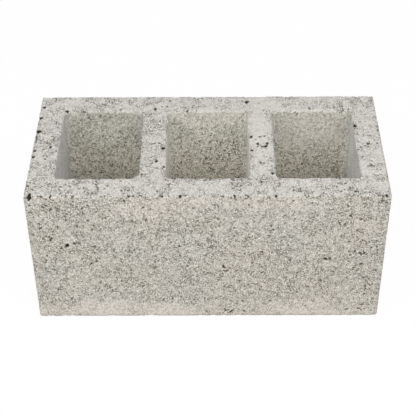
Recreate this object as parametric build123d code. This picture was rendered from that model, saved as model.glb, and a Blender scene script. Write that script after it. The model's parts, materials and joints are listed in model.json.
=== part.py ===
from build123d import *
import os
from math import atan, degrees

# Hollow concrete block: one solid piece of dry-cast concrete, with cores right through it.
# Millimetres, +Z up. The origin is the middle of the bottom bed face, X runs along the
# length and Y across the width. The block stands as it is laid, with its thick side up:
# each core is narrowest at the top bed face and widens evenly towards the bottom one.

# Outside of the block
block_length = 400.0
block_width = 190.0
block_height = 185.0

# Walls between and around the cores, as thick as they are at the top bed face
core_count = 3
face_shell = 32.0  # the two long walls
cross_web = 29.0  # the walls between one core and the next
end_wall = 30.0  # the walls at the two heads

# The shape of a core
core_draft = 1.5  # what each core wall gives way from the top bed face to the bottom one
core_corner = 6.0  # radius of a core's upright corners, at the top bed face

# Edges, as they are after handling
arris_radius = 1.5  # the twelve outside edges
rim_radius = 1.0  # the edge round each core, at both bed faces

# What the sizes above leave for the cores, at the top bed face
core_length = (block_length - 2 * end_wall - (core_count - 1) * cross_web) / core_count
core_width = block_width - 2 * face_shell
core_pitch = core_length + cross_web
draft_angle = degrees(atan(core_draft / block_height))


# The full outline of the block, with its arrises rounded
def outer_body():
    upright_from_bed = (Align.CENTER, Align.CENTER, Align.MIN)
    body = Box(block_length, block_width, block_height, align=upright_from_bed)
    return fillet(body.edges(), arris_radius)


# The tapered former that leaves one core: it starts at the top bed face and ends at the bottom one
def core_former():
    mouth = RectangleRounded(core_length, core_width, core_corner)
    return extrude(Plane.XY.offset(block_height) * mouth, amount=-block_height, taper=-draft_angle)


# Where the cores stand along the length, evenly spaced about the middle
def core_centres():
    first = -(core_count - 1) / 2 * core_pitch
    return [first + number * core_pitch for number in range(core_count)]


# The edges round the mouths of the cores, on the top and the bottom bed face
def core_rims(block):
    bed_faces = block.faces().filter_by(Axis.Z)
    mouths = [mouth for bed in bed_faces for mouth in bed.inner_wires()]
    return [edge for mouth in mouths for edge in mouth.edges()]


# The block itself: the outline, less its cores, with the rims of the cores rounded
def hollow_block():
    former = core_former()
    block = outer_body() - [Pos(X=centre) * former for centre in core_centres()]
    return fillet(core_rims(block), rim_radius)


os.makedirs("parts", exist_ok=True)
export_step(hollow_block(), "parts/hollow_block.step")
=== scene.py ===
import json
import math
import random
from functools import partial

import bmesh
import bpy
import numpy as np
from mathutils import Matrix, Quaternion, Vector, kdtree, noise


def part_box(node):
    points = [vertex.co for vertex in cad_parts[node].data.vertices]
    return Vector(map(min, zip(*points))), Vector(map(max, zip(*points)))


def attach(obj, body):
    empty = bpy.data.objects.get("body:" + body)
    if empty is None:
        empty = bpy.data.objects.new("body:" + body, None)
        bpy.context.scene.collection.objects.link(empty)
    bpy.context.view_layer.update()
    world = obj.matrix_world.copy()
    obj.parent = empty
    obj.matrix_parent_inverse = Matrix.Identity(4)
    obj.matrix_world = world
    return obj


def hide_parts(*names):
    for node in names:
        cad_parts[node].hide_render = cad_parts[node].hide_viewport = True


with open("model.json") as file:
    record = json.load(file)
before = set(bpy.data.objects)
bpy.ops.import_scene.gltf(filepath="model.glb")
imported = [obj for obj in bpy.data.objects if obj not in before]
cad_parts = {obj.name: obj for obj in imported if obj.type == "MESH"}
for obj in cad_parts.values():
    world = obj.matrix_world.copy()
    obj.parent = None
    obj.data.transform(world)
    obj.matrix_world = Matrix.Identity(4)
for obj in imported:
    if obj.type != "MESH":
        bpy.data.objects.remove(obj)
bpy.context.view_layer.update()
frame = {"nodes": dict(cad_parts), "record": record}
mm = 0.001  # one millimetre, in the metres of the scene
print("frame loaded")

# Camera: where the photograph was taken from, on the frame's axes

cameraView = {
    "place": (6.8, -1029.7, 959.3),  # mm from the middle of the block's underside
    "yaw": -0.384,  # degrees to the right of +Y
    "pitch": -40.241,  # degrees above level
    "roll": -0.447,  # degrees
    "lens": 97.05,  # mm
    "sensor": 36.0,  # mm
}


def placeCamera(view):
    yaw, pitch, roll = (math.radians(view[turn]) for turn in ("yaw", "pitch", "roll"))
    look = Vector((math.sin(yaw) * math.cos(pitch), math.cos(yaw) * math.cos(pitch), math.sin(pitch)))
    camera = bpy.data.objects.new("camera", bpy.data.cameras.new("camera"))
    camera.data.lens = view["lens"]
    camera.data.sensor_width = view["sensor"]
    camera.location = Vector(view["place"]) * mm
    camera.rotation_mode = "QUATERNION"
    camera.rotation_quaternion = look.to_track_quat("-Z", "Y") @ Quaternion((0, 0, 1), roll)
    bpy.context.scene.collection.objects.link(camera)
    bpy.context.scene.camera = camera


placeCamera(cameraView)
print("camera placed")


# Helpers for colours and shader nodes

def linearColour(hexCode):
    channels = [int(hexCode[start:start + 2], 16) / 255 for start in (1, 3, 5)]
    return [c / 12.92 if c <= 0.04045 else ((c + 0.055) / 1.055) ** 2.4 for c in channels] + [1.0]


# Adds a node with its settings, and with its inputs by name or in the order of its sockets
def addNode(tree, kind, settings=None, inputs=(), output=0):
    node = tree.nodes.new(kind)
    for name, value in (settings or {}).items():
        setattr(node, name, value)
    named = inputs if isinstance(inputs, dict) else dict(enumerate(inputs))
    for name, value in named.items():
        if isinstance(value, bpy.types.NodeSocket):
            tree.links.new(value, node.inputs[name])
        else:
            node.inputs[name].default_value = linearColour(value) if isinstance(value, str) else value
    return node.outputs[output]


def scaleOf(size):  # the Scale of a pattern that has this size in mm
    return 1 / (size * mm)


# The block: one piece of dry-cast concrete, with the worn and pitted faces that the mould left

concreteBlock = {
    "weld": 0.01,  # mm, within which the corners of the CAD mesh are merged
    "cell": 1.0,  # mm, the working mesh before it is thinned
    "triangles": 194000,  # what is left after thinning
    "seed": 11,
    "openingClearance": 2.0,  # mm, how far the record's opening boxes stand off the core walls
    "coreDraft": 1.5,  # mm, how much wider a core is at the bottom, on each side
    "unevenSize": 42.0, "unevenDepth": 0.25,  # mm, slow unevenness of the faces
    "grainSize": 3.2, "grainDepth": 0.2,  # mm, gaps in the coarse sand that shows in the faces
    "grainHidden": 0.7,  # share of that grain that closed slurry levels
    "crumbleSize": 3.0, "crumbleDepth": 1.2, "crumbleReach": 2.4,  # mm, crumbs lost along the edges
    "crumbleRange": (0.1, 0.8),  # of the noise, where a crumb starts and where all of it is gone
    "weakSize": 19.0, "weakShare": 0.35,  # mm and share, longer stretches of edge that lost more
    "bedReach": 3.0, "uprightCrumble": 0.5,  # mm from a bed, and the share of crumbs on the edges beyond
    "footReach": 20.0, "footCrumble": 0.4,  # mm above the floor, and the share of crumbs left there
    "backCrumble": 1.5,  # how many times more the edges of the back face have lost
    "chipSize": 8.0, "chipDepth": 1.1, "chipReach": 4.0,  # mm, shallow chips along the edges of the beds
    "chipRange": (0.0, 0.5),  # of the noise, as for the crumbs
    "crossFade": (-14.0, 24.0),  # mm round a core's upright corner, from the long wall to the cross wall
    "crossWander": 9.0, "crossWanderSize": 9.0,  # mm, how far and in what pattern that change wanders
    "filmSize": 34.0, "filmShare": 0.25,  # mm and share, faint patches where cement slurry closed the face
    "filmRange": (0.15, 0.55),  # of the noise, from open to closed
    "lowFilm": 0.45,  # share, the closed band along the foot of the side faces
    "lowFilmFade": (24.0, 5.0),  # mm above the floor, where that band starts and where it is whole
    "lowFilmWander": 9.0, "lowFilmWanderSize": 17.0,  # mm, how far and in what pattern its edge wanders
    "pits": {  # how many of each kind, and their widths in mm from the least to the greatest
        "small": (1100, 1.3, 2.6),  # on all faces
        "large": (30, 2.2, 3.2),
        "edge": (80, 1.4, 2.8),  # along the upper edges
        "arris": (60, 1.2, 2.4),  # along the upper edge of the front face
    },
    "pitFree": 0.9,  # share of the pits that closed slurry keeps away
    "edgeReach": 2.5,  # mm from an edge to the pits that follow it
    "edgeDepth": 6.0,  # mm below the top face, for those of the upper edges
    "arrisDepth": 1.2, "arrisWidth": 2.8,  # mm below the top face and behind the front one, for the arris
    # The voids that catch the eye, one by one: x, y and width in mm on the top face
    "topVoids": [
        (-195.5, 74, 4.2), (-197.5, 53, 5.6), (-196.5, 26, 6.0), (-197.5, -12, 5.0),  # left end
        (-197.5, -24, 4.0), (-197.5, -76, 3.4), (-184, -28, 3.2), (-180, -5, 3.0), (-194, -94.2, 5.2),
        (-167, 66, 4.6), (-125, 80, 3.4), (-63, 70, 4.0), (47, 83, 4.8), (91, 78, 2.8),  # back strip
        (-25, 65.5, 3.2), (-14, 65.5, 2.6), (122, 70, 3.4), (168, 67, 3.0),
        (-56, 1, 3.4), (-63, 1, 2.8), (-51, -8, 5.0), (-58, -32, 4.2), (-49, -42, 3.4),  # first web
        (51, 14, 4.0), (61, 14, 3.6), (66, 15, 3.0), (58, 1, 3.8), (67, -5, 4.6), (63, -6, 3.2),  # second web
        (69, 1, 3.6), (51, -13, 3.8), (60, -35, 3.2), (64, -36, 2.8), (73, -55, 4.2), (60, -70, 3.0),
        (173, 35, 4.4), (178, -2, 2.4), (187, -2, 2.4), (176, -25, 3.0), (172, -12, 2.8),  # right end
        (195, 0, 3.2), (195, -94.2, 3.2), (190, -93.6, 2.6),
        (161, -87, 3.8), (28, -64, 4.0), (4, -65, 3.4), (152, -73, 3.2), (177, -89, 2.8),  # front strip
    ],
    "arrisPlace": -93.3,  # mm, y of the voids along the front arris, whose x and widths follow
    "arrisVoids": [
        (-181, 3.2), (-171, 3.0), (-146, 2.6), (-86, 3.0), (-50, 3.0), (-30, 3.6), (30, 3.2), (75, 3.0),
    ],
    # On the front face: x, z and width in mm
    "frontVoids": [
        (-159, 113, 4.8), (-150, 116, 3.4), (-145, 117, 2.8), (-138, 167, 2.6), (-130, 172, 2.6),
        (-32, 112, 2.8), (17, 82, 2.8), (19, 78, 3.2), (134, 92, 3.0), (170, 151, 2.8), (158, 156, 2.8),
    ],
    # Groups of lesser voids: the face, two places and two reaches in mm along it, and how many
    "voidGroups": [
        ("top", -198.5, 0, 1, 24, 6), ("top", -184, -12, 7, 20, 7),  # ends
        ("top", 199, 15, 1, 50, 9),
        ("top", 182, -3, 12, 8, 11), ("top", 180, -56, 10, 20, 8),
        ("top", 188, 30, 8, 40, 7),
        ("top", -61, 1, 8, 1.5, 6), ("top", -56, -32, 8, 16, 4), ("top", 60, 0, 8, 16, 8),  # webs
        ("top", -150, -78, 28, 8, 7), ("top", 105, -86, 12, 1.5, 9), ("top", 158, -80, 24, 8, 14),  # front
        ("top", -105, -78, 38, 10, 20),
        ("top", -120, 78, 30, 8, 5), ("top", 56, 84, 8, 2, 4), ("top", 126, 70, 5, 7, 6),  # back
        ("front", 192, 177, 6, 5, 4), ("front", 16, 7, 34, 5, 20), ("front", -175, 172, 14, 8, 8),
        ("front", 185, 60, 8, 30, 8), ("front", 180, 105, 16, 44, 24), ("front", 184, 14, 12, 10, 8),
        ("front", -180, 115, 14, 44, 18), ("front", -150, 152, 24, 16, 14),
        ("front", 132, 91, 12, 4, 7), ("front", -147, 116, 5, 2, 2), ("front", 20, 80, 6, 8, 4),
    ],
    "groupWidth": (1.5, 2.8),  # mm
    "voidStretch": (1.0, 1.5),  # how much longer a void is than its width
    "voidDepth": (0.45, 0.75), "voidDeepest": 2.8,  # shares of its width, and mm
    "voidReach": 1.1,  # widths from its middle, beyond which it leaves the face alone
    "voidRagged": 0.4, "voidRaggedSize": 2.2,  # how far its rim strays, and how often across its width
    "voidRim": 1.25, "voidFade": 0.4,  # of half its width, where it starts and how soon it is at full depth
    "voidShade": 0.3, "voidShadeWidth": 6.0,  # a small void holds less shadow: a share, and mm of width
    "topTurn": 0.5,  # radians either way that a void on the top face lies from straight across the block
    "topInward": -0.7,  # the upward part of the way in, below which a void is on the top face
    "plainPit": 0.04,  # share of a void's depth up to which the thinning may touch the face
    "filledCorner": (-76.0, -63.0, 12.0),  # mm: a corner of the left core's mouth, and its radius as filled
    "fillFade": (6.0, 1.5),  # mm from the core wall, where the filling ends and where it is whole
    "fillLength": 3.0,  # radii, how far it can reach
    # Closed patches: the face, two places and two reaches in mm along it, and how closed
    "films": [
        ("front", -128, 12, 42, 16, 0.8), ("front", -48, 9, 34, 16, 0.85), ("front", 112, 10, 52, 14, 0.65),
        ("front", 140, 30, 36, 20, 0.15), ("front", 80, 172, 56, 10, 0.5), ("front", -10, 176, 60, 9, 0.4),
        # The last patch on the next line, a faint band along the top of the front face, is painted light:
        # paler where light from above falls
        ("front", -75, 165, 40, 16, 0.4), ("front", 30, 160, 180, 22, 0.15),
        # The last patch on the next line, along the back rims of the right two cores, is partly a painted
        # highlight: paler where the rounded rim catches the light
        ("top", 61, 5, 14, 70, 0.8), ("top", 60, 80, 80, 12, 0.4), ("top", 62, 67, 112, 4, 0.7),
        ("wall", 123, 150, 50, 38, 0.5), ("wall", 0, 176, 60, 14, 0.5), ("wall", 118, 95, 40, 30, 0.2),
    ],
    "filmFade": (1.2, 0.6),  # of its reach, where a patch starts and where it is whole
    "filmWander": 0.45, "filmWanderSize": 15.0,  # share of its reach, and mm
    "coreTone": (0.955, 1.06, 1.007),  # how pale the walls of each core are, from left to right
    "sharpAngle": 50.0,  # degrees, past which an edge is shaded sharp
}

# Which part of the block a place on its surface counts as: mm, and shares of the normal
zoneLimits = {
    "shell": 12.0,  # mm from the outside to the nearest that a core wall can be
    "coreReach": 4.0,  # mm from a core's outline to what still counts as its wall
    "rimDepth": 0.6,  # mm from a bed face to where the core walls start
    "faceReach": 3.0,  # mm behind the top and the front face
    "backReach": 4.0,  # mm behind the back face
    "bedSlope": (0.5, 0.8),  # from beside a bed face to on it
    "topSlope": 0.2, "frontSlope": -0.7, "wallSlope": -0.4, "sideSlope": 0.5,
}


def startBlock():
    work = bmesh.new()
    work.from_mesh(frame["nodes"]["hollow_block"].data)
    bmesh.ops.remove_doubles(work, verts=work.verts, dist=concreteBlock["weld"] * mm)
    mesh = bpy.data.meshes.new("concreteBlock")
    work.to_mesh(mesh)
    work.free()
    piece = bpy.data.objects.new("concreteBlock", mesh)
    bpy.context.scene.collection.objects.link(piece)
    return piece


def finishWith(piece, kind, settings):
    modifier = piece.modifiers.new(kind, kind)
    for name, value in settings.items():
        setattr(modifier, name, value)
    graph = bpy.context.evaluated_depsgraph_get()
    finished = bpy.data.meshes.new_from_object(piece.evaluated_get(graph))
    piece.modifiers.clear()
    piece.data = finished


def readVectors(source, name):
    values = np.empty(len(source) * 3)
    source.foreach_get(name, values)
    return values.reshape(-1, 3)


def noiseOver(points, patternSize, octaves=1):  # about -1 to 1
    places = (points / patternSize + concreteBlock["seed"]).tolist()
    if octaves == 1:
        return np.array([noise.noise(Vector(place)) for place in places])
    fade, finer = 0.8, 2.1  # how soon the later octaves fade, and how much finer each one is
    return np.array([noise.fractal(Vector(place), fade, finer, octaves) for place in places])


def smoothStep(low, high, values):
    share = np.clip((values - low) / (high - low), 0, 1)
    return share * share * (3 - 2 * share)


def measureZones(points, normals):
    made, limits = concreteBlock, zoneLimits
    low, high = (np.array(corner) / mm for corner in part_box("hollow_block"))
    gapX, gapY, gapZ = np.minimum(points - low, high - points).T
    arris = np.sort([gapX, gapY, gapZ], axis=0)[1]  # mm from the nearest outside edge
    spread = made["openingClearance"] + made["coreDraft"] * (1 - points[:, 2] / high[2])
    coreGap = np.full(len(points), np.inf)  # mm from the nearest core wall, in plan
    turn = np.zeros(len(points))  # mm round that core from its upright corner, positive on the cross walls
    tone = np.ones(len(points))
    for opening, coreTone in zip(frame["record"]["physics"]["openings"], made["coreTone"]):
        boxLow, boxHigh = np.array(opening["box_m"]) / mm
        outX = np.maximum(boxLow[0] - points[:, 0], points[:, 0] - boxHigh[0]) - spread
        outY = np.maximum(boxLow[1] - points[:, 1], points[:, 1] - boxHigh[1]) - spread
        outside = np.hypot(np.maximum(outX, 0), np.maximum(outY, 0))
        gap = np.where(outside > 0, outside, np.abs(np.maximum(outX, outY)))
        turn = np.where(gap < coreGap, outX - outY, turn)
        tone = np.where(gap < coreGap, coreTone, tone)
        coreGap = np.minimum(coreGap, gap)
    byCore = coreGap < limits["coreReach"]
    inCore = (np.minimum(gapX, gapY) > limits["shell"]) & byCore & (gapZ > limits["rimDepth"])
    turn = turn + made["crossWander"] * noiseOver(points, made["crossWanderSize"], 3)
    return {
        "edge": np.minimum(arris, np.hypot(gapZ, coreGap)),
        "core": inCore.astype(float),
        "coreGap": coreGap,
        "tone": np.where(inCore, tone, 1.0),
        "cross": inCore * smoothStep(*made["crossFade"], turn),
        "bed": smoothStep(*limits["bedSlope"], np.abs(normals[:, 2])),
        "top": (normals[:, 2] > limits["topSlope"]) & (gapZ < limits["faceReach"]),
        "front": (normals[:, 1] < limits["frontSlope"]) & (gapY < limits["faceReach"]),
        "back": (points[:, 1] > 0) & (gapY < limits["backReach"]),
        "wall": byCore & (normals[:, 1] < limits["wallSlope"]),
        "side": (np.abs(normals[:, 2]) < limits["sideSlope"]) & ~inCore,
        "gapZ": gapZ,
    }


def closedFilm(points, zones):
    made = concreteBlock
    film = made["filmShare"] * smoothStep(*made["filmRange"], noiseOver(points, made["filmSize"], 3))
    height = points[:, 2] + made["lowFilmWander"] * noiseOver(points, made["lowFilmWanderSize"])
    film = np.maximum(film, made["lowFilm"] * zones["side"] * smoothStep(*made["lowFilmFade"], height))
    wander = made["filmWander"] * noiseOver(points, made["filmWanderSize"], 3)
    for face, first, second, reachFirst, reachSecond, share in made["films"]:
        across = points[:, 1] if face == "top" else points[:, 2]
        away = np.hypot((points[:, 0] - first) / reachFirst, (across - second) / reachSecond) + wander
        film = np.maximum(film, share * zones[face] * smoothStep(*made["filmFade"], away))
    return np.maximum(film, zones["cross"])


def choosePits(points, zones, film, chance):
    made = concreteBlock
    low, high = (np.array(corner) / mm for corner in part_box("hollow_block"))
    onFace = {"top": lambda x, y: Vector((x, y, high[2])), "front": lambda x, z: Vector((x, low[1], z))}
    placed = [(onFace["top"](x, y), width) for x, y, width in made["topVoids"]]
    placed += [(onFace["top"](x, made["arrisPlace"]), width) for x, width in made["arrisVoids"]]
    placed += [(onFace["front"](x, z), width) for x, z, width in made["frontVoids"]]
    for face, first, second, reachFirst, reachSecond, count in made["voidGroups"]:
        for each in range(count):
            spot = onFace[face](chance.gauss(first, reachFirst / 2), chance.gauss(second, reachSecond / 2))
            placed.append((spot, chance.uniform(*made["groupWidth"])))
    atEdge = zones["edge"] < made["edgeReach"]
    atArris = (points[:, 2] > high[2] - made["arrisDepth"]) & (points[:, 1] < low[1] + made["arrisWidth"])
    where = {
        "small": np.ones(len(points), bool),
        "large": zones["core"] == 0,
        "edge": atEdge & (points[:, 2] > high[2] - made["edgeDepth"]),
        "arris": atEdge & atArris,
    }
    for kind, (count, narrow, wide) in made["pits"].items():
        spots = np.flatnonzero(where[kind])
        while count:
            index = int(spots[chance.randrange(len(spots))])
            if chance.random() < made["pitFree"] * film[index]:
                continue
            placed.append((Vector(points[index]), narrow + (wide - narrow) * chance.random() ** 2))
            count -= 1
    return placed


def pressVoid(tree, place, inward, width, chance, drop, pit):
    made = concreteBlock
    across = inward.orthogonal().normalized()
    turn = chance.uniform(0, math.pi)
    if inward.z < made["topInward"]:
        across = inward.cross(Vector((0, 1, 0))).normalized()
        turn = chance.uniform(-1, 1) * made["topTurn"]
    across.rotate(Quaternion(inward, turn))
    along = inward.cross(across)
    stretch = chance.uniform(*made["voidStretch"])
    shift = Vector((chance.uniform(0, 50), 0, 0))  # so that no two rims are alike
    depth = min(width * chance.uniform(*made["voidDepth"]), made["voidDeepest"])
    shade = min(made["voidShade"] + width / made["voidShadeWidth"], 1.0)
    for spot, index, _ in tree.find_range(place, width * made["voidReach"]):
        offset = spot - place
        reach = math.hypot(offset.dot(along) / stretch, offset.dot(across) * stretch ** 0.5) / (width / 2)
        rim = 1 + made["voidRagged"] * noise.noise(offset / width * made["voidRaggedSize"] + shift)
        share = min(max((made["voidRim"] - reach / rim) / made["voidFade"], 0), 1)
        share = share * share * (3 - 2 * share)
        if share * shade > pit[index]:
            pit[index] = share * shade
            drop[index] = inward * depth * share


def fillCorner(points, shaped, zones):  # concrete that stuck in one corner of the left core's former
    made = concreteBlock
    x, y, radius = made["filledCorner"]
    out = points[:, :2] - (x - radius, y + radius)
    away = np.hypot(*out.T)
    near = (out[:, 0] > 0) & (out[:, 1] < 0) & (away < made["fillLength"] * radius)
    fade = smoothStep(*made["fillFade"], zones["coreGap"])
    fill = np.maximum(away - zones["coreGap"] - radius, 0) * fade * near
    shaped[:, :2] -= out * (fill / np.maximum(away, 1))[:, None]


def keepInBox(mesh):
    low, high = (np.array(corner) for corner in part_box("hollow_block"))
    kept = np.clip(readVectors(mesh.vertices, "co"), low, high)
    mesh.vertices.foreach_set("co", kept.astype(np.float32).ravel())
    mesh.update()


def weatherBlock(piece):
    made = concreteBlock
    mesh = piece.data
    points = readVectors(mesh.vertices, "co") / mm
    normals = readVectors(mesh.vertex_normals, "vector")
    zones = measureZones(points, normals)
    film = closedFilm(points, zones)
    print("zones measured")

    sunk = made["unevenDepth"] * np.maximum(noiseOver(points, made["unevenSize"]), 0)
    grain = np.clip(noiseOver(points, made["grainSize"], 3), 0, 1)
    sunk += made["grainDepth"] * (1 - made["grainHidden"] * film) * grain
    byBed = zones["gapZ"] < made["bedReach"]
    weak = made["weakShare"] * noiseOver(points, made["weakSize"])
    loose = smoothStep(*made["crumbleRange"], noiseOver(points, made["crumbleSize"], 2) + weak)
    footShare = np.where(points[:, 2] < made["footReach"], made["footCrumble"], 1.0)
    loose *= np.where(byBed, 1.0, made["uprightCrumble"]) * footShare * (1 - film)
    loose *= np.where(zones["back"] & byBed, made["backCrumble"], 1.0)
    sunk += made["crumbleDepth"] * loose * smoothStep(made["crumbleReach"], 0, zones["edge"])
    chips = byBed * (1 - film) * smoothStep(*made["chipRange"], noiseOver(points, made["chipSize"], 2))
    sunk += made["chipDepth"] * chips * smoothStep(made["chipReach"], 0, zones["edge"])
    shaped = points - normals * sunk[:, None]
    fillCorner(points, shaped, zones)
    print("grain and edges worn")

    tree = kdtree.KDTree(len(points))
    for index, point in enumerate(points.tolist()):
        tree.insert(point, index)
    tree.balance()
    chance = random.Random(made["seed"])
    pit = [0.0] * len(points)
    drop = [Vector((0, 0, 0))] * len(points)
    placed = choosePits(points, zones, film, chance)
    for place, width in placed:
        spot, index, _ = tree.find(place)
        pressVoid(tree, spot, -Vector(normals[index]), width, chance, drop, pit)
    shaped += np.array(drop)
    print("voids pressed", len(placed))

    mesh.vertices.foreach_set("co", (shaped * mm).astype(np.float32).ravel())
    kept = {"pit": pit, "film": film}
    kept.update((name, zones[name]) for name in ("core", "cross", "bed", "tone"))
    for name, values in kept.items():
        mesh.attributes.new(name, "FLOAT", "POINT").data.foreach_set("value", np.array(values, np.float32))
    keepInBox(mesh)
    plain = piece.vertex_groups.new(name="plain")  # what the thinning may touch: all but the voids
    plain.add(np.flatnonzero(np.array(pit) < made["plainPit"]).tolist(), 1.0, "REPLACE")


# Dry-cast concrete, pressed in a steel mould: matte, and grainy all over, with gaps between the sand grains

dryCastConcrete = {
    "face": "#e4dfd4", "faceShare": 0.6,  # cement and sand on the faces, and how far it hides the patches
    "faceCool": "#e1ded6", "faceWarm": "#e7dfd1",  # greyer and sandier patches
    "patchSize": 90.0, "patchRange": (0.38, 0.62),  # mm, and of the noise, from the one to the other
    "core": "#e3e0d4", "coreDeepPaintedLight": "#f6f0df",  # the long core walls, paler and browner deep inside, where the paleness is painted light for the light that does not reach so deep
    "coreDepths": (95.0, 165.0),  # mm up the block, where the one turns into the other
    "bed": "#dddad3",  # the bed faces, greyer and a little darker than the upright faces
    "film": "#ece4da",  # closed slurry
    "crossWall": "#f4f3f0", "crossDark": "#e3e2df",  # the cross walls, rubbed smooth and grey by the former, and paler than the faces partly as painted light for the light that does not reach into the cores
    "rubSize": 26.0, "rubRange": (0.35, 0.65),  # mm, between the paler and darker places that it left
    "hollow": "#5f5642",  # painted shade in the gaps between the grains
    "voidShadow": "#38332b", "voidRange": (0.15, 0.9),  # painted shade in the largest voids, and from a void's rim to its full painted shade
    "foot": "#756d60", "footShadeHeight": 3.6, "footShare": 0.75,  # painted shade under the lower arris, where the block stands on the floor, mm high
    "grainPull": (0.8, 1.2, 1.0),  # how much longer the grain is along X, Y and Z than its sizes below
    "sandSize": 1.3, "sandRange": (0.3, 0.7),  # mm, for sand of 1 to 2 mm, and of the noise, dark to pale
    "sandDark": "#736a58", "sandLight": "#f0f4fa",  # the tones of the grains, on the colours above
    "sandGain": 1.587,  # what brings their mean back to those colours
    "flatSand": 0.25,  # how much less the grains show in closed slurry and on the core walls
    "markSize": 1.6, "markShade": 0.06,  # mm across the upright marks left as the mould was drawn up
    "markRange": (0.3, 0.7),  # of the noise, from the darkest to the palest mark
    "markPull": 0.04, "markDepths": (125.0, 165.0),  # their shrink along Z, and where they start, mm up
    # How much less open the grain is in each zone
    "closing": {"film": 0.45, "bed": 0.1, "core": -0.1, "coreTop": 0.2},
    # The more and less open places, on the faces and on the beds: mm, of the noise, and how open
    "clusterSize": 9.0, "clusterRange": (0.3, 0.7), "clusterOpen": (0.75, 1.15),
    "bedClusterSize": 12.0, "bedClusterRange": (0.36, 0.64), "bedClusterOpen": (0.5, 1.25),
    "gapSize": 2.0, "gapWidth": 0.055,  # mm between gaps, and the share of the pattern that they take
    "gapLength": 4.5, "gapBreaks": (0.4, 0.56),  # mm, and of the noise, from a break to a whole gap
    "gapShade": 0.9, "gapOffBed": 0.4,  # how dark, and how much fainter on the beds
    "poreSize": 1.9, "poreWidth": 1.9, "poreShade": 0.95,  # mm between pores, mm across the widest, how dark
    "poreRarity": 1.0,  # the greater, the fewer reach that width
    "widePoreSize": 6.5, "widePoreWidth": 3.2, "widePoreShade": 0.85, "widePoreRarity": 3.0,  # rarer ones
    "poreRim": 0.2,  # mm, half the width of a pore's soft rim
    "bendSize": 1.6, "bendReach": 1.8,  # mm, how the pores are bent out of round
    "roughness": 0.92, "specular": 0.25,
    "sandRelief": 0.8, "gapRelief": -0.2, "poreRelief": -0.3, "widePoreRelief": -0.4,  # mm
    "reliefStrength": 0.8,
}


def addPores(tree, place, openness, mix, kind):
    add = partial(addNode, tree)
    spacing, width, rarity = (mix[kind + value] for value in ("Size", "Width", "Rarity"))
    times, minus, power = ({"operation": each} for each in ("MULTIPLY", "SUBTRACT", "POWER"))
    cells = add("ShaderNodeTexVoronoi", inputs={"Vector": place, "Scale": scaleOf(spacing)})
    chance = add("ShaderNodeSeparateColor", inputs=[cells.node.outputs["Color"]])
    chance = add("ShaderNodeMath", power, (chance, rarity))
    share = add("ShaderNodeMath", times, (chance, openness))
    reach = add("ShaderNodeMath", times, (share, width / 2 / spacing))
    away = add("ShaderNodeMath", minus, (cells, reach))
    fade = mix["poreRim"] / spacing
    return add("ShaderNodeMapRange", {"interpolation_type": "SMOOTHSTEP"}, (away, -fade, fade, 1.0, 0.0))


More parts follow.
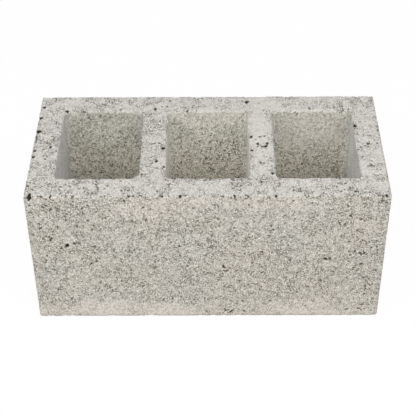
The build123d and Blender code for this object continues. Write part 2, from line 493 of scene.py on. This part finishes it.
def makeConcrete(name, mix):
    material = bpy.data.materials.new(name)
    material.use_nodes = True
    tree = material.node_tree
    shader = tree.nodes["Principled BSDF"]
    shader.inputs["Roughness"].default_value = mix["roughness"]
    shader.inputs["Specular IOR Level"].default_value = mix["specular"]
    add = partial(addNode, tree)
    operations = ("MULTIPLY", "SUBTRACT", "ABSOLUTE", "MAXIMUM", "SCALE", "MULTIPLY_ADD")
    times, minus, absolute, highest, scaled, timesPlus = ({"operation": each} for each in operations)
    smooth = {"interpolation_type": "SMOOTHSTEP"}
    over = {"data_type": "RGBA"}  # a Mix of colours, which takes them at 6 and 7 and gives its own at 2
    tint = {"data_type": "RGBA", "blend_type": "MULTIPLY"}
    place = add("ShaderNodeTexCoord", output="Object")
    upright = add("ShaderNodeSeparateXYZ", inputs=[place], output=2)
    grain = add("ShaderNodeVectorMath", times, (place, [1 / share for share in mix["grainPull"]]))
    zones = {
        each: add("ShaderNodeAttribute", {"attribute_name": each}, output="Fac")
        for each in ("film", "pit", "core", "cross", "bed", "tone")
    }
    deep, shallow = mix["coreDepths"]
    coreTop = add("ShaderNodeMapRange", smooth, (upright, deep * mm, shallow * mm))
    zones["coreTop"] = add("ShaderNodeMath", times, (zones["core"], coreTop))

    # How open the grain is: less in closed slurry, more deep in the cores, and unlike from place to place
    openness = 1.0
    for zone, closed in mix["closing"].items():
        openness = add("ShaderNodeMath", timesPlus, (zones[zone], -closed, openness))
    cluster = {"Vector": place, "Scale": scaleOf(mix["clusterSize"])}
    cluster = add("ShaderNodeTexNoise", inputs=cluster)
    cluster = add("ShaderNodeMapRange", smooth, (cluster, *mix["clusterRange"], *mix["clusterOpen"]))
    onBed = {"Vector": place, "Scale": scaleOf(mix["bedClusterSize"]), "Detail": 3.0}
    onBed = add("ShaderNodeTexNoise", inputs=onBed)
    onBed = add("ShaderNodeMapRange", smooth, (onBed, *mix["bedClusterRange"], *mix["bedClusterOpen"]))
    cluster = add("ShaderNodeMix", inputs={0: zones["bed"], 2: cluster, 3: onBed})
    openness = add("ShaderNodeMath", times, (openness, cluster))

    # Gaps between grains, in short broken lines
    gaps = {"Vector": grain, "Scale": scaleOf(mix["gapSize"]), "Detail": 1.0}
    gaps = add("ShaderNodeTexNoise", inputs=gaps)
    gaps = add("ShaderNodeMath", minus, (gaps, 0.5))
    gaps = add("ShaderNodeMath", absolute, [gaps])
    gaps = add("ShaderNodeMapRange", smooth, (gaps, 0.0, mix["gapWidth"], 1.0, 0.0))
    breaks = {"Vector": place, "Scale": scaleOf(mix["gapLength"]), "Detail": 1.0}
    breaks = add("ShaderNodeTexNoise", inputs=breaks)
    breaks = add("ShaderNodeMapRange", smooth, (breaks, *mix["gapBreaks"]))
    offBed = add("ShaderNodeMath", timesPlus, (zones["bed"], -mix["gapOffBed"], 1.0))
    for share in (breaks, openness, offBed):
        gaps = add("ShaderNodeMath", times, (gaps, share))

    # Pores, in slightly bent coordinates, so that none is round
    bend = {"Vector": grain, "Scale": scaleOf(mix["bendSize"]), "Detail": 1.0}
    bend = add("ShaderNodeTexNoise", inputs=bend, output="Color")
    bend = add("ShaderNodeVectorMath", minus, (bend, (0.5, 0.5, 0.5)))
    bent = add("ShaderNodeVectorMath", timesPlus, (bend, [mix["bendReach"] * mm] * 3, grain))
    pores, widePores = (addPores(tree, bent, openness, mix, kind) for kind in ("pore", "widePore"))

    # Cement colour, patch by patch
    patch = {"Vector": place, "Scale": scaleOf(mix["patchSize"]), "Detail": 3.0, "Roughness": 0.6}
    patch = add("ShaderNodeTexNoise", inputs=patch)
    patch = add("ShaderNodeMapRange", smooth, (patch, *mix["patchRange"]))
    colour = add("ShaderNodeMix", over, {0: patch, 6: mix["faceCool"], 7: mix["faceWarm"]}, 2)
    colour = add("ShaderNodeMix", over, {0: mix["faceShare"], 6: colour, 7: mix["face"]}, 2)
    # The long core walls, with painted light deep inside
    inner = add("ShaderNodeMix", over, {0: coreTop, 6: mix["coreDeepPaintedLight"], 7: mix["core"]}, 2)
    # The cross walls: paler and darker places from the former, and partly painted light
    rub = {"Vector": place, "Scale": scaleOf(mix["rubSize"]), "Detail": 3.0}
    rub = add("ShaderNodeTexNoise", inputs=rub)
    rub = add("ShaderNodeMapRange", smooth, (rub, *mix["rubRange"]))
    rub = add("ShaderNodeMix", over, {0: rub, 6: mix["crossDark"], 7: mix["crossWall"]}, 2)
    for zone, shade in (("core", inner), ("film", mix["film"]), ("bed", mix["bed"]), ("cross", rub)):
        colour = add("ShaderNodeMix", over, {0: zones[zone], 6: colour, 7: shade}, 2)

    # Faint upright marks from the mould, near the top of every upright face
    marks = add("ShaderNodeVectorMath", times, (place, (1.0, 1.0, mix["markPull"])))
    marks = add("ShaderNodeTexNoise", inputs={"Vector": marks, "Scale": scaleOf(mix["markSize"])})
    marks = add("ShaderNodeMapRange", inputs=(marks, *mix["markRange"], -1.0, 1.0))
    start, whole = mix["markDepths"]
    marked = add("ShaderNodeMapRange", smooth, (upright, start * mm, whole * mm, 0.0, mix["markShade"]))
    sides = add("ShaderNodeMath", minus, (1.0, zones["bed"]))
    marked = add("ShaderNodeMath", times, (marked, sides))
    tone = add("ShaderNodeMath", timesPlus, (marks, marked, zones["tone"]))
    colour = add("ShaderNodeVectorMath", scaled, {0: colour, "Scale": tone})

    # Sand grains, then the painted shade of the gaps, the pores, the foot and the pressed voids
    sand = {"Vector": grain, "Scale": scaleOf(mix["sandSize"]), "Detail": 3.0, "Roughness": 0.62}
    sand = add("ShaderNodeTexNoise", inputs=sand)
    sandTone = add("ShaderNodeMapRange", smooth, (sand, *mix["sandRange"]))
    sandTone = add("ShaderNodeMix", over, {0: sandTone, 6: mix["sandDark"], 7: mix["sandLight"]}, 2)
    sandTone = add("ShaderNodeVectorMath", scaled, {0: sandTone, "Scale": mix["sandGain"]})
    sandTone = add("ShaderNodeMix", tint, {0: 1.0, 6: colour, 7: sandTone}, 2)
    flat = add("ShaderNodeMath", highest, (zones["film"], zones["core"]))
    sandShare = add("ShaderNodeMath", timesPlus, (flat, -mix["flatSand"], 1.0))
    sandShare = add("ShaderNodeMath", times, (sandShare, openness))
    colour = add("ShaderNodeMix", over, {0: sandShare, 6: colour, 7: sandTone}, 2)
    hollows = {"gap": gaps, "pore": pores, "widePore": widePores}
    for kind, hollow in hollows.items():
        share = add("ShaderNodeMath", times, (hollow, mix[kind + "Shade"]))
        colour = add("ShaderNodeMix", over, {0: share, 6: colour, 7: mix["hollow"]}, 2)
    # Painted shade along the foot, where the block stands on the floor
    foot = (upright, 0.0, mix["footShadeHeight"] * mm, mix["footShare"], 0.0)
    foot = add("ShaderNodeMapRange", smooth, foot)
    colour = add("ShaderNodeMix", over, {0: foot, 6: colour, 7: mix["foot"]}, 2)
    # Painted shade in the pressed voids, as dark as each one's share
    shadow = add("ShaderNodeMapRange", smooth, (zones["pit"], *mix["voidRange"]))
    colour = add("ShaderNodeMix", over, {0: shadow, 6: colour, 7: mix["voidShadow"]}, 2)
    tree.links.new(colour, shader.inputs["Base Color"])

    # The relief of the grains and of the same gaps and pores
    height = add("ShaderNodeMath", times, (sand, openness))
    height = add("ShaderNodeMath", times, (height, mix["sandRelief"] * mm))
    for kind, hollow in hollows.items():
        height = add("ShaderNodeMath", timesPlus, (hollow, mix[kind + "Relief"] * mm, height))
    bump = {"Strength": mix["reliefStrength"], "Distance": 1.0, "Height": height}
    bump = add("ShaderNodeBump", inputs=bump)
    tree.links.new(bump, shader.inputs["Normal"])
    return material


def buildBlock():
    made = concreteBlock
    piece = startBlock()
    finishWith(piece, "REMESH", {"mode": "VOXEL", "voxel_size": made["cell"] * mm})
    print("working mesh", len(piece.data.vertices), "vertices")
    weatherBlock(piece)
    ratio = made["triangles"] / (2 * len(piece.data.polygons))
    thinning = {"ratio": ratio, "use_collapse_triangulate": True, "vertex_group": "plain"}
    finishWith(piece, "DECIMATE", thinning)
    piece.vertex_groups.clear()
    keepInBox(piece.data)
    piece.data.shade_smooth()
    piece.data.set_sharp_from_angle(angle=math.radians(made["sharpAngle"]))
    piece.data.materials.clear()
    piece.data.materials.append(makeConcrete("dryCastConcrete", dryCastConcrete))
    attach(piece, "root")
    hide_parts("hollow_block")
    print("block finished", len(piece.data.polygons), "triangles")


buildBlock()


# Studio: a white floor, with four soft lamps high round the block and a little light from the sky

studio = {
    "floorWidth": 8.0,  # m
    "floorDrop": 0.2,  # mm below the block's underside, so that the two never share a plane
    "floorColour": "#dddddd",  # what the block sees of the floor
    "floorGlow": 0.96,  # share of plain white in what the camera sees of it, the rest takes the shadow
    "sky": 0.2,  # strength of the all-round light
    "lamps": {
        "front": {"place": (0.0, -1.4, 1.85), "width": 1.2, "power": 19.5},
        "left": {"place": (-1.4, -1.0, 1.7), "width": 1.0, "power": 17.5},
        "right": {"place": (1.4, -1.0, 1.7), "width": 1.0, "power": 15.5},
        "back": {"place": (0.0, 1.9, 1.35), "width": 1.2, "power": 9.5},
    },
}


def whiteForCamera(tree, plain, white):
    seen = addNode(tree, "ShaderNodeLightPath", output="Is Camera Ray")
    for ray in ("Is Glossy Ray", "Is Transmission Ray"):
        path = addNode(tree, "ShaderNodeLightPath", output=ray)
        seen = addNode(tree, "ShaderNodeMath", {"operation": "MAXIMUM"}, {0: seen, 1: path})
    return addNode(tree, "ShaderNodeMixShader", inputs={0: seen, 1: plain, 2: white})


def layFloor():
    work = bmesh.new()
    bmesh.ops.create_grid(work, x_segments=1, y_segments=1, size=studio["floorWidth"] / 2)
    bmesh.ops.translate(work, verts=work.verts, vec=(0, 0, -studio["floorDrop"] * mm))
    mesh = bpy.data.meshes.new("floor")
    work.to_mesh(mesh)
    work.free()
    floor = bpy.data.objects.new("floor", mesh)
    bpy.context.scene.collection.objects.link(floor)
    material = bpy.data.materials.new("whiteFloor")
    material.use_nodes = True
    tree = material.node_tree
    tree.nodes.remove(tree.nodes["Principled BSDF"])
    plain = addNode(tree, "ShaderNodeBsdfDiffuse", inputs={"Color": studio["floorColour"]})
    pale = addNode(tree, "ShaderNodeBsdfDiffuse", inputs={"Color": "#ffffff"})
    glow = addNode(tree, "ShaderNodeEmission", inputs={"Color": "#ffffff", "Strength": 1.0})
    white = addNode(tree, "ShaderNodeMixShader", inputs={0: studio["floorGlow"], 1: pale, 2: glow})
    tree.links.new(whiteForCamera(tree, plain, white), tree.nodes["Material Output"].inputs["Surface"])
    mesh.materials.append(material)


def lightStudio():
    world = bpy.data.worlds.new("studio")
    bpy.context.scene.world = world
    world.use_nodes = True
    tree = world.node_tree
    tree.nodes.remove(tree.nodes["Background"])
    plain = addNode(tree, "ShaderNodeBackground", inputs={"Color": "#ffffff", "Strength": studio["sky"]})
    white = addNode(tree, "ShaderNodeBackground", inputs={"Color": "#ffffff", "Strength": 1.0})
    tree.links.new(whiteForCamera(tree, plain, white), tree.nodes["World Output"].inputs["Surface"])
    for name, lamp in studio["lamps"].items():
        light = bpy.data.objects.new(name, bpy.data.lights.new(name, "AREA"))
        light.data.size = lamp["width"]
        light.data.energy = lamp["power"]
        light.location = lamp["place"]
        light.rotation_mode = "QUATERNION"
        light.rotation_quaternion = (-Vector(lamp["place"])).to_track_quat("-Z", "Y")
        bpy.context.scene.collection.objects.link(light)


layFloor()
lightStudio()
bpy.context.scene.view_settings.view_transform = "Standard"
print("studio lit")
